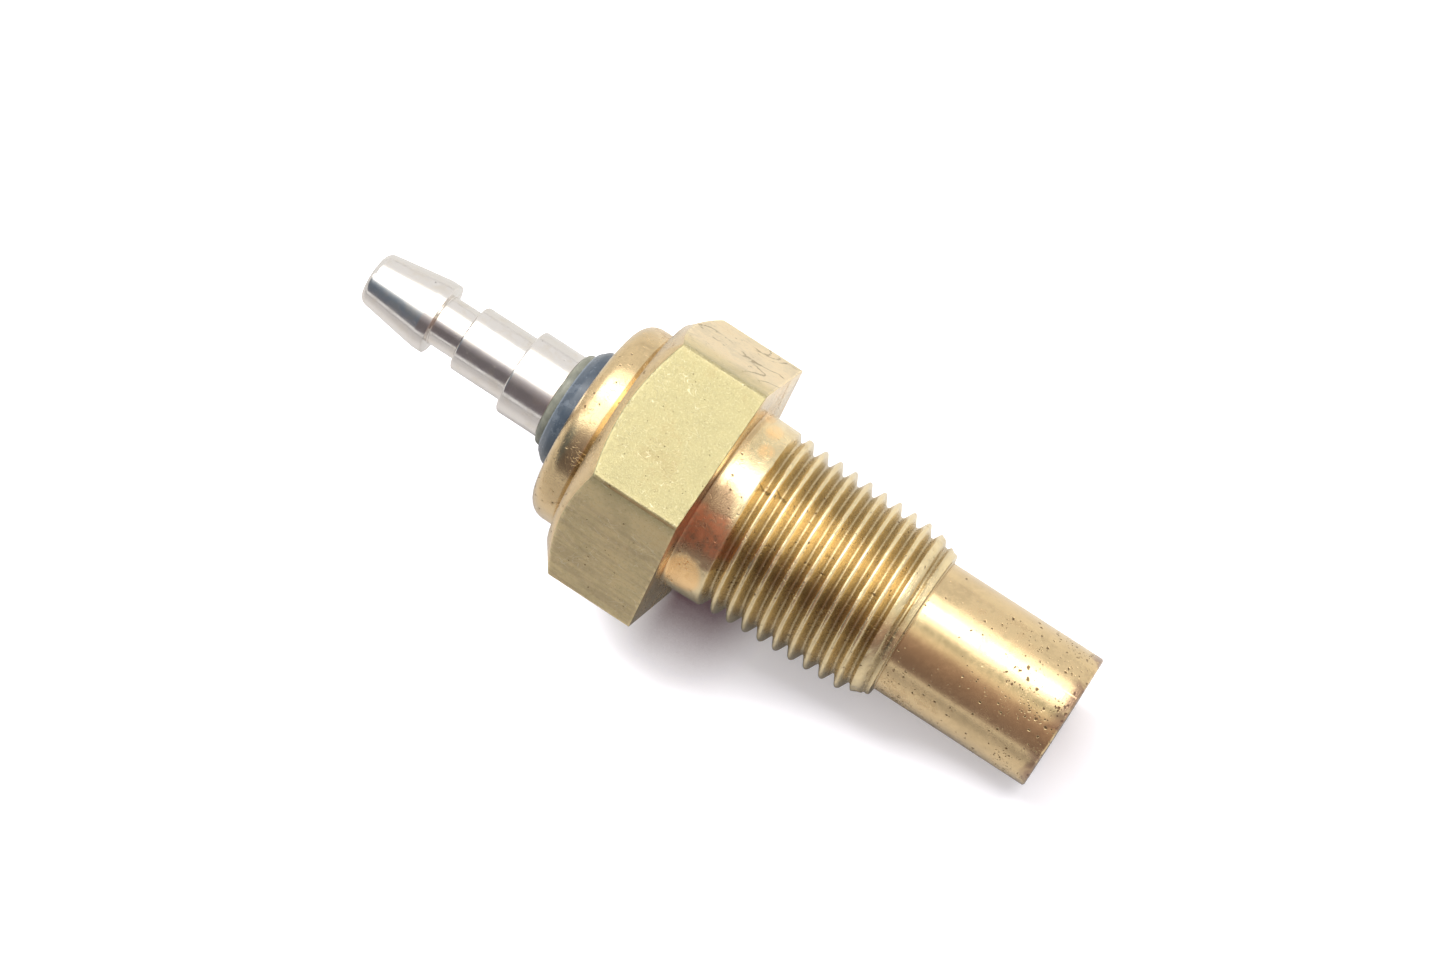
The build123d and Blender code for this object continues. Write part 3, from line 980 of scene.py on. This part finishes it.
class Coat(Tree):
    """A material: its Principled shader, and the tree that its other nodes are added to."""

    def __init__(self, name, metallic, **sockets):
        self.material = bpy.data.materials.new(name)
        self.material.use_nodes = True
        super().__init__(self.material.node_tree)
        self.shader = self.tree.nodes["Principled BSDF"]
        self.surface(Metallic=metallic, **sockets)
        self.space = self.group(part_space())
        self.point = self.space["Point"]

    def surface(self, **sockets):
        """Feeds the shader's sockets, named with an underscore for each space."""
        for key, value in sockets.items():
            self.feed(self.shader.inputs[key.replace("_", " ")], value)

    def pits(self, density, size, share):
        return self.group(pits_group(), point=self.point, density=density, size=size, share=share)["Mask"]

    def turning(self, density):
        return self.group(turning_group(), point=self.point, density=density)["Height"]

    def scratches(self, density):
        return self.group(scratches_group(), point=self.point, density=density)["Mask"]

    def tarnished(self, finish, **settings):
        """Colour and roughness of brass with a film, specks and the mesh's wear."""
        wear = self.attribute("wear")
        return self.group(
            tarnish_group(), point=self.point, speck_colour=finish.brass_pit, wear=wear, **settings
        )

    def bump(self, *heights):
        """Small heights of the surface, each a mask and its size in millimetres."""
        total = self.times(*heights[0])
        for mask, size in heights[1:]:
            total = self.plus(total, self.times(mask, size))
        node = self.add("ShaderNodeBump", {"Height": total, "Distance": MM, "Strength": 1.0})
        self.surface(Normal=node.outputs["Normal"])


# Brass finishes


def brass_flats(finish):
    """Drawn bar: matt, with a fine grain, specks and streaks, and dried stain lines on one side. The
    upper flat is painted lighter and the middle flat darker: painted light and shade for how each flat faces
    the lamps.
    """
    tree = Coat("Brass drawn flats", 1.0)
    point = tree.point
    grain = tree.noise(point, 9.0, 3.0, 0.7)
    drawn = tree.noise(tree.scale(point, (0.1, 1.0, 1.0)), 3.0, 3.0, 0.6)
    specks = tree.pits(3.4, 0.2, 0.16)
    dust = tree.pits(7.0, 0.24, 0.14)
    stains = tree.group(stain_group(), point=point, size=0.27)["Mask"]
    scratches = tree.scratches(1.2)
    across = tree.math("SINE", tree.space["Angle"])
    upper = tree.fall(across, -0.75, -0.6)
    lower = tree.span(across, 0.6, 0.75)
    stain = tree.times(stains, tree.blend_value(upper, 0.05, 0.45))
    marks = tree.most(tree.times(specks, 0.5), tree.times(dust, 0.25))
    marks = tree.most(marks, stain)
    # Painted light: the upper flat is painted lighter and pinker
    clean = tree.mix(tree.times(upper, 0.85), finish.brass_flat, (0.80, 0.665, 0.46))
    brown = tree.times(lower, tree.span(drawn, 0.4, 0.62, 0.0, 0.75))
    clean = tree.mix(brown, clean, (0.56, 0.445, 0.27))
    # Painted shade: the middle flat, which faces the softbox, is painted darker
    level = tree.fall(tree.math("ABSOLUTE", across), 0.45, 0.6)
    clean = tree.mix(level, clean, (0.36, 0.32, 0.172))
    clean = tree.mix(tree.span(grain, 0.5, 0.72, 0.0, 0.35), clean, (0.66, 0.60, 0.40))
    clean = tree.mix(tree.span(grain, 0.28, 0.46, 0.25, 0.0), clean, (0.30, 0.24, 0.11))
    clean = tree.mix(tree.times(scratches, 0.5), clean, (0.85, 0.78, 0.55))
    metal = tree.tarnished(
        finish,
        clean=clean,
        tarnish=finish.brass_tarnish,
        specks=marks,
        film=0.14,
        grime=0.6,
        base_roughness=0.5,
    )
    tree.surface(Base_Color=metal["Colour"], Roughness=metal["Roughness"])
    tree.bump((grain, 0.02), (specks, -0.015), (scratches, -0.004))
    return tree.material


def brass_lathed(finish, name, clean, tarnish, roughness, film, rings, ring_height, specks_share, grime):
    """Turned brass with tool rings, a thin film and specks, and on the neck a painted dark reflection and a
    copper-red patch, partly stain and partly painted reflection.
    """
    tree = Coat(name, 1.0)
    point = tree.point
    lines = tree.turning(rings)
    specks = tree.pits(3.0, 0.22, specks_share)
    scratches = tree.scratches(1.4)
    metal = tree.tarnished(
        finish,
        clean=clean,
        tarnish=tarnish,
        specks=tree.times(specks, 0.7),
        film=film,
        grime=grime,
        base_roughness=roughness,
    )
    metal = tree.group(
        neck_stain_and_reflection_group(),
        point=point,
        station=tree.space["Station"],
        angle=tree.space["Angle"],
        colour=metal["Colour"],
        rough=metal["Roughness"],
    )
    tree.surface(Base_Color=metal["Colour"], Roughness=metal["Roughness"])
    grain = tree.noise(point, 13.0, 3.0, 0.7)
    tree.bump((lines, ring_height), (grain, ring_height * 0.6), (specks, -0.015), (scratches, -0.006))
    return tree.material


def brass_bulb(finish, bulb_end):
    """The bulb: satin, with dark pits and a purple-brown bloom towards its end."""
    tree = Coat("Brass bulb", 1.0)
    point, space = tree.point, tree.space
    lines = tree.turning(9.0)
    near_end = tree.span(space["Station"], bulb_end - 6.0, bulb_end - 0.6)
    clusters = tree.span(tree.noise(point, 0.55, 2.0), 0.44, 0.6)
    below = tree.times(tree.span(tree.math("SINE", space["Angle"]), 0.55, 0.9), clusters)
    below = tree.most(below, tree.spot(space, bulb_end - 5.35, 0.97, 0.95, 0.11))
    share = tree.blend_value(tree.most(near_end, below), 0.06, 0.6)
    pits = tree.pits(3.6, 0.29, share)
    fine = tree.pits(7.5, 0.34, share)
    grain = tree.noise(point, 15.0, 3.0, 0.7)
    marks = tree.most(tree.times(pits, 0.85), tree.times(fine, clusters))
    metal = tree.tarnished(
        finish,
        clean=finish.brass_turned,
        tarnish=finish.brass_tarnish,
        specks=marks,
        film=0.3,
        grime=0.9,
        base_roughness=0.2,
    )
    rim = tree.span(space["Station"], bulb_end - 1.0, bulb_end - 0.15)
    bloom = tree.times(rim, tree.span(tree.noise(point, 0.5, 3.0, 0.6, 0.5), 0.45, 0.56))
    bloomed = tree.mix(tree.times(bloom, 0.7), metal["Colour"], (0.23, 0.125, 0.1))
    tree.surface(Base_Color=bloomed, Roughness=metal["Roughness"])
    tree.bump((lines, 0.006), (marks, -0.025), (grain, 0.003))
    return tree.material


# Finishes of the terminal, the insulation and the inside


def nickel_plate(finish):
    """Bright plate with faint rings and a few specks."""
    tree = Coat("Nickel plate", 1.0)
    lines = tree.turning(10.0)
    specks = tree.pits(3.2, 0.2, 0.1)
    haze = tree.noise(tree.point, 1.6, 4.0, 0.6)
    warm = tree.mix(tree.span(haze, 0.45, 0.7, 0.0, 0.35), finish.nickel, (0.66, 0.58, 0.47))
    plated = tree.mix(tree.times(specks, 0.6), warm, (0.16, 0.13, 0.11))
    tree.surface(Base_Color=plated, Roughness=tree.span(haze, 0.3, 0.7, 0.13, 0.24))
    tree.bump((lines, 0.004), (specks, -0.01))
    return tree.material


def seal_rubber(finish):
    """Blue-grey rubber with a dusty bloom and a paler rim at its top."""
    tree = Coat("Seal rubber", 0.0, Specular_IOR_Level=0.5)
    bloom = tree.noise(tree.point, 1.4, 4.0, 0.6)
    grain = tree.noise(tree.point, 14.0, 2.0)
    top = stations_of("seal_ring")[0]
    rim = tree.fall(tree.space["Station"], top + 0.02, top + 0.14)
    pale = tree.most(tree.span(bloom, 0.5, 0.75, 0.0, 0.2), tree.times(rim, 0.45))
    shade = tree.mix(pale, finish.rubber, (0.21, 0.24, 0.275))
    tree.surface(Base_Color=shade, Roughness=tree.span(bloom, 0.35, 0.7, 0.2, 0.3))
    tree.bump((grain, 0.004), (bloom, 0.006))
    return tree.material


def matt_moulding(name, base, pale, roughness, grain_size, grain_height):
    """A moulded or rolled insulator with a fine grain."""
    tree = Coat(name, 0.0)
    cloud = tree.noise(tree.point, 0.9, 4.0, 0.6)
    grain = tree.noise(tree.point, grain_size, 3.0)
    rough = tree.span(grain, 0.3, 0.7, roughness - 0.07, roughness + 0.07)
    tree.surface(Base_Color=tree.mix(tree.span(cloud, 0.35, 0.7), base, pale), Roughness=rough)
    tree.bump((grain, grain_height))
    return tree.material


def plain_metal(name, base, dull, roughness, rings):
    """A clean inner metal piece with a worked surface."""
    tree = Coat(name, 1.0)
    lines = tree.turning(rings)
    cloud = tree.noise(tree.point, 1.2, 4.0, 0.6)
    rough = tree.span(cloud, 0.3, 0.7, roughness - 0.05, roughness + 0.08)
    tree.surface(Base_Color=tree.mix(tree.span(cloud, 0.4, 0.7), base, dull), Roughness=rough)
    tree.bump((lines, 0.005))
    return tree.material


# Studio


def camera_axes(stage):
    """The camera's right, up and back directions."""
    flat = cos(stage.elevation)
    back = Vector((sin(stage.azimuth) * flat, -cos(stage.azimuth) * flat, sin(stage.elevation)))
    level = Vector((cos(stage.azimuth), sin(stage.azimuth), 0))
    rise = back.cross(level)
    right = level * cos(stage.roll) + rise * sin(stage.roll)
    return right, back.cross(right), back


def facing(direction, distance, along=0.0):
    """A matrix for a flat thing that faces the part from a direction, its long side along the part."""
    side = (ALONG - direction * ALONG.dot(direction)).normalized()
    rise = direction.cross(side)
    matrix = Matrix((side, rise, direction)).transposed().to_4x4()
    matrix.translation = SEAT + direction * distance + side * along
    return matrix


def round_the_part(stage, degrees_from_camera):
    """A direction at an angle from the camera's, turned about the centreline to the picture's upper right."""
    back = camera_axes(stage)[2]
    toward = (back - ALONG * back.dot(ALONG)).normalized()
    upper = toward.cross(ALONG)
    turn = radians(degrees_from_camera)
    return toward * cos(turn) + upper * sin(turn)


def stage_card(name, points, faces):
    """A mesh that belongs to the studio."""
    mesh = bpy.data.meshes.new(name)
    mesh.from_pydata(points, [], faces)
    card = add_object(name, mesh)
    return card


def white_world(stage):
    """White for the camera and in reflections, and an even light on the part."""
    world = bpy.data.worlds.new("White studio")
    bpy.context.scene.world = world
    world.use_nodes = True
    tree = Tree(world.node_tree)
    path = tree.add("ShaderNodeLightPath").outputs
    seen = tree.most(path["Is Camera Ray"], path["Is Glossy Ray"])
    seen = tree.most(seen, path["Is Transmission Ray"])
    background = world.node_tree.nodes["Background"]
    background.inputs["Color"].default_value = (1, 1, 1, 1)
    tree.feed(background.inputs["Strength"], tree.blend_value(seen, stage.world_strength, 1.0))


def studio_floor(stage):
    """The floor. The camera sees it white, with a painted shadow close under the neck. Reflections see greys,
    painted shade that differs by side and by distance from the centreline."""
    half = stage.floor_size / 2
    corners = [(-half, -half, 0), (half, -half, 0), (half, half, 0), (-half, half, 0)]
    floor = stage_card("floor", corners, [(0, 1, 2, 3)])
    tree = Coat("White floor", 0.0, Roughness=0.9, Specular_IOR_Level=0.1)
    path = tree.add("ShaderNodeLightPath").outputs
    apart = tree.add("ShaderNodeSeparateXYZ", {0: tree.point}).outputs["Z"]
    station = tree.space["Station"]
    by_body = tree.span(station, -14.0, -8.0)
    # Painted shade in reflections: other rays see the floor grey, lighter on the upper side beside the body,
    # darker on the lower side, and darker still 10 to 30 millimetres out on the lower side
    upper = tree.mix(by_body, (0.36, 0.36, 0.355), (0.43, 0.43, 0.425))
    painted_reflection_grey = tree.mix(tree.span(apart, -6.0, 4.0), upper, (0.36, 0.355, 0.355))
    far = tree.mix(by_body, (0.28, 0.275, 0.275), (0.23, 0.225, 0.23))
    painted_reflection_grey = tree.mix(tree.span(apart, 10.0, 30.0), painted_reflection_grey, far)
    # Painted shadow: close under the neck, where the floor is hemmed in, the camera sees dark purple-brown
    # instead of white, and the white glow is taken away there
    by_neck = tree.times(tree.span(station, -1.2, 0.6), tree.fall(station, 2.5, 6.0))
    openness = tree.add("ShaderNodeAmbientOcclusion", {"Distance": 8 * MM}).outputs["AO"]
    closed = tree.times(tree.fall(openness, 0.28, 0.7), by_neck)
    camera_white_with_painted_shadow = tree.mix(closed, (0.92, 0.905, 0.955), (0.22, 0.135, 0.17))
    glow = tree.times(path["Is Camera Ray"], tree.blend_value(closed, 0.1, 0.0))
    tree.surface(Base_Color=tree.mix(path["Is Camera Ray"], painted_reflection_grey, camera_white_with_painted_shadow))
    tree.surface(Emission_Color=(1.0, 1.0, 1.0), Emission_Strength=glow)
    floor.data.materials.append(tree.material)


# Colours painted on the arched card, each with its degrees from the camera's direction, on three
# stretches: far out, beyond the terminal and beside the body. They are painted reflections: the bright and
# dark bands that the metal shows.
CARD_FAR_OUT = (
    (-9, (1.0, 1.0, 1.0)),
    (-13, (0.4, 0.43, 0.44)),
    (-21, (0.12, 0.14, 0.165)),
    (-36, (0.052, 0.065, 0.082)),
    (-60, (0.058, 0.064, 0.078)),
    (-76, (0.08, 0.082, 0.092)),
    (-84, (0.11, 0.107, 0.115)),
)
CARD_BY_TERMINAL = (
    (-5, (1.0, 1.0, 0.98)),
    (-10, (0.4, 0.39, 0.39)),
    (-21, (0.15, 0.138, 0.145)),
    (-38, (0.062, 0.055, 0.058)),
    (-62, (0.066, 0.058, 0.062)),
    (-76, (0.08, 0.074, 0.08)),
    (-84, (0.11, 0.104, 0.112)),
)
CARD_BY_BODY = (
    (13, (0.45, 0.45, 0.44)),
    (9, (0.3, 0.315, 0.3)),
    (6, (0.2, 0.21, 0.19)),
    (2, (0.3, 0.3, 0.28)),
    (-4, (0.44, 0.42, 0.37)),
    (-9, (0.36, 0.31, 0.27)),
    (-16, (0.22, 0.17, 0.155)),
    (-28, (0.165, 0.12, 0.11)),
    (-45, (0.115, 0.086, 0.083)),
    (-68, (0.095, 0.073, 0.077)),
    (-84, (0.15, 0.125, 0.125)),
)


def dark_card(stage):
    """An arched card beside the part that glows only in reflections: its colours, from white to dark, are
    painted reflections on the metal.
    """
    radius = 0.1
    behind, ahead = 0.5, 0.2
    off_floor = 0.0003
    turns = range(14, -86, -2)
    lowest, highest = -90, 20
    points = []
    for turned in turns:
        centre = SEAT + round_the_part(stage, turned) * radius
        points += [centre - ALONG * behind, centre + ALONG * ahead]
    points = [(x, y, max(z, off_floor)) for x, y, z in points]
    card = stage_card("dark_card", points, [(i, i + 1, i + 3, i + 2) for i in range(0, len(points) - 2, 2)])
    layer = card.data.attributes.new("turn", "FLOAT", "POINT")
    layer.data.foreach_set("value", [float(turned) for turned in turns for edge in range(2)])
    black = (0.0, 0.0, 0.0)
    tree = Coat("Dark card", 0.0, Base_Color=black, Roughness=1.0, Specular_IOR_Level=0.0)
    turned = tree.attribute("turn")
    station = tree.space["Station"]
    painted = (CARD_FAR_OUT, CARD_BY_TERMINAL, CARD_BY_BODY)
    far, beyond, body = (tree.ramp(turned, lowest, highest, stops) for stops in painted)
    shade = tree.mix(tree.span(station, -70.0, -45.0), far, beyond)
    shade = tree.mix(tree.span(station, -14.0, -3.0), shade, body)
    # Painted reflections: the card's glow gives the metal its bright and dark reflected bands
    tree.surface(Emission_Color=shade, Emission_Strength=2.8)
    card.data.materials.append(tree.material)
    card.visible_camera = False
    card.visible_diffuse = False
    card.visible_shadow = False
    card.visible_transmission = False


def lamp(name, matrix, wide, high, radiance, tint=(1.0, 1.0, 1.0)):
    """A rectangular lamp of an even brightness."""
    light = bpy.data.lights.new(name, "AREA")
    light.shape = "RECTANGLE"
    light.size = wide
    light.size_y = high
    light.energy = radiance * pi * wide * high
    light.color = tint
    return add_object(name, light, matrix)


def studio_lamps(stage):
    """A softbox, a wider fill behind it, and a key from the terminal's side for the floor's shadow."""
    softbox = facing(round_the_part(stage, 34.0), 0.25, -0.1)
    lamp("softbox", softbox, 0.40, 0.085, stage.softbox_radiance, (1.0, 0.985, 0.955))
    fill = facing(round_the_part(stage, 36.0), 0.27, -0.08)
    lamp("fill", fill, 0.44, 0.24, stage.fill_radiance, (1.0, 0.985, 0.955))
    toward = (round_the_part(stage, 30.0) - ALONG * 0.7).normalized()
    key = lamp("key", facing(toward, 0.5), 0.3, 0.3, stage.key_radiance)
    key.visible_glossy = False


def studio_camera(stage):
    """The camera at the photograph's viewing angle."""
    right, up, back = camera_axes(stage)
    data = bpy.data.cameras.new("camera")
    data.lens = stage.lens
    data.sensor_width = 36
    data.clip_start = 0.005
    data.clip_end = 20
    matrix = Matrix((right, up, back)).transposed().to_4x4()
    matrix.translation = SEAT + right * stage.aim_right + up * stage.aim_up + back * stage.distance
    bpy.context.scene.camera = add_object("camera", data, matrix)


# Operators, panel and run


def dress(piece, slot_name, *nodes):
    """The new piece rides on the body and stands for its CAD nodes, which are hidden. Its slot name is not
    used.
    """
    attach(piece, BODY_NAME)
    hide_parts(*nodes)


class SWITCH_OT_build_body(bpy.types.Operator):
    """Build the brass body with its hexagon, taper thread and bulb"""

    bl_idname = "switch.build_body"
    bl_label = "Build brass body"

    def execute(self, context):
        scene = context.scene
        sizes = in_millimetres(scene.switch_body)
        finish = scene.switch_finish
        turned = brass_lathed(
            finish,
            "Brass turned",
            clean=finish.brass_turned,
            tarnish=finish.brass_tarnish,
            roughness=0.2,
            film=0.5,
            rings=7.0,
            ring_height=0.01,
            specks_share=0.4,
            grime=0.7,
        )
        threaded = brass_lathed(
            finish,
            "Brass thread",
            clean=finish.brass_thread,
            tarnish=(0.25, 0.175, 0.085),
            roughness=0.13,
            film=0.35,
            rings=14.0,
            ring_height=0.02,
            specks_share=0.35,
            grime=0.65,
        )
        bulb = brass_bulb(finish, sizes.shank_length + sizes.bulb_length)
        body = build_body_mesh(sizes, [brass_flats(finish), turned, threaded, bulb])
        dress(body, "body_brass", "body")
        return {"FINISHED"}


class SWITCH_OT_build_terminal(bpy.types.Operator):
    """Build the plated bullet terminal"""

    bl_idname = "switch.build_terminal"
    bl_label = "Build bullet terminal"

    def execute(self, context):
        scene = context.scene
        pin = build_terminal_mesh(in_millimetres(scene.switch_terminal), [nickel_plate(scene.switch_finish)])
        dress(pin, "terminal_nickel", "terminal_pin")
        return {"FINISHED"}


class SWITCH_OT_build_seal(bpy.types.Operator):
    """Build the insulating washer and the rubber seal under it"""

    bl_idname = "switch.build_seal"
    bl_label = "Build washer and seal"

    def execute(self, context):
        scene = context.scene
        finish = scene.switch_finish
        sizes = in_millimetres(scene.switch_terminal)
        body = in_millimetres(scene.switch_body)
        fibre = matt_moulding("Washer fibre", finish.fibre, (0.16, 0.16, 0.125), 0.45, 8.0, 0.012)
        dress(build_washer_mesh(sizes, [fibre]), "washer_fibre", "terminal_washer")
        lip_rim = -body.hex_length - body.collar_length
        seal = build_seal_mesh(sizes, [seal_rubber(finish)], body.lip_bore / 2, lip_rim)
        dress(seal, "seal_rubber", "seal_ring")
        return {"FINISHED"}


class SWITCH_OT_finish_insides(bpy.types.Operator):
    """Give the pieces inside the body their finishes"""

    bl_idname = "switch.finish_insides"
    bl_label = "Finish inner pieces"

    def execute(self, context):
        contact = plain_metal("Contact brass", (0.80, 0.62, 0.30), (0.62, 0.44, 0.19), 0.25, 3.0)
        resin = matt_moulding("Bush resin", (0.042, 0.026, 0.017), (0.075, 0.05, 0.035), 0.4, 6.0, 0.01)
        film = matt_moulding("Sleeve film", (0.62, 0.50, 0.30), (0.7, 0.6, 0.42), 0.35, 10.0, 0.004)
        oxide = matt_moulding("Pellet oxide", (0.02, 0.02, 0.022), (0.05, 0.05, 0.05), 0.6, 12.0, 0.01)
        steel = plain_metal("Spring steel", (0.60, 0.60, 0.60), (0.42, 0.41, 0.40), 0.28, 6.0)
        finishes = {
            "insulator_bush": resin,
            "contact_plate": contact,
            "insulating_sleeve": film,
            "lower_contact": contact,
            "thermistor_pellet": oxide,
            "upper_contact": contact,
            "contact_spring": steel,
        }
        for node_name, material in finishes.items():
            for slot in frame["nodes"][node_name].material_slots:
                slot.material = material
        return {"FINISHED"}


class SWITCH_OT_build_stage(bpy.types.Operator):
    """Build the white floor, the lights and the camera"""

    bl_idname = "switch.build_stage"
    bl_label = "Build stage"

    def execute(self, context):
        scene = context.scene
        stage = scene.switch_stage
        scene.view_settings.view_transform = "Standard"
        white_world(stage)
        studio_floor(stage)
        dark_card(stage)
        studio_lamps(stage)
        studio_camera(stage)
        return {"FINISHED"}


OPERATORS = (
    SWITCH_OT_build_body,
    SWITCH_OT_build_terminal,
    SWITCH_OT_build_seal,
    SWITCH_OT_finish_insides,
    SWITCH_OT_build_stage,
)
GROUPS = {
    "switch_body": SwitchBodySizes,
    "switch_terminal": SwitchTerminalSizes,
    "switch_finish": SwitchFinish,
    "switch_stage": SwitchStage,
}


class SWITCH_PT_panel(bpy.types.Panel):
    """Lists the steps that dress the switch."""

    bl_idname = "SWITCH_PT_panel"
    bl_label = "Oil temperature switch"
    bl_space_type = "VIEW_3D"
    bl_region_type = "UI"
    bl_category = "Switch"

    def draw(self, context):
        for operator in OPERATORS:
            self.layout.operator(operator.bl_idname)
        for group_name, group_type in GROUPS.items():
            box = self.layout.box()
            for key in group_type.__annotations__:
                box.prop(getattr(context.scene, group_name), key)


def register():
    for group_name, group_type in GROUPS.items():
        bpy.utils.register_class(group_type)
        setattr(bpy.types.Scene, group_name, PointerProperty(type=group_type))
    for operator in OPERATORS:
        bpy.utils.register_class(operator)
    bpy.utils.register_class(SWITCH_PT_panel)


def unregister():
    bpy.utils.unregister_class(SWITCH_PT_panel)
    for operator in reversed(OPERATORS):
        bpy.utils.unregister_class(operator)
    for group_name, group_type in reversed(GROUPS.items()):
        delattr(bpy.types.Scene, group_name)
        bpy.utils.unregister_class(group_type)


def main():
    register()
    bpy.ops.switch.build_body()
    bpy.ops.switch.build_terminal()
    bpy.ops.switch.build_seal()
    bpy.ops.switch.finish_insides()
    bpy.ops.switch.build_stage()


if __name__ == "__main__":
    main()
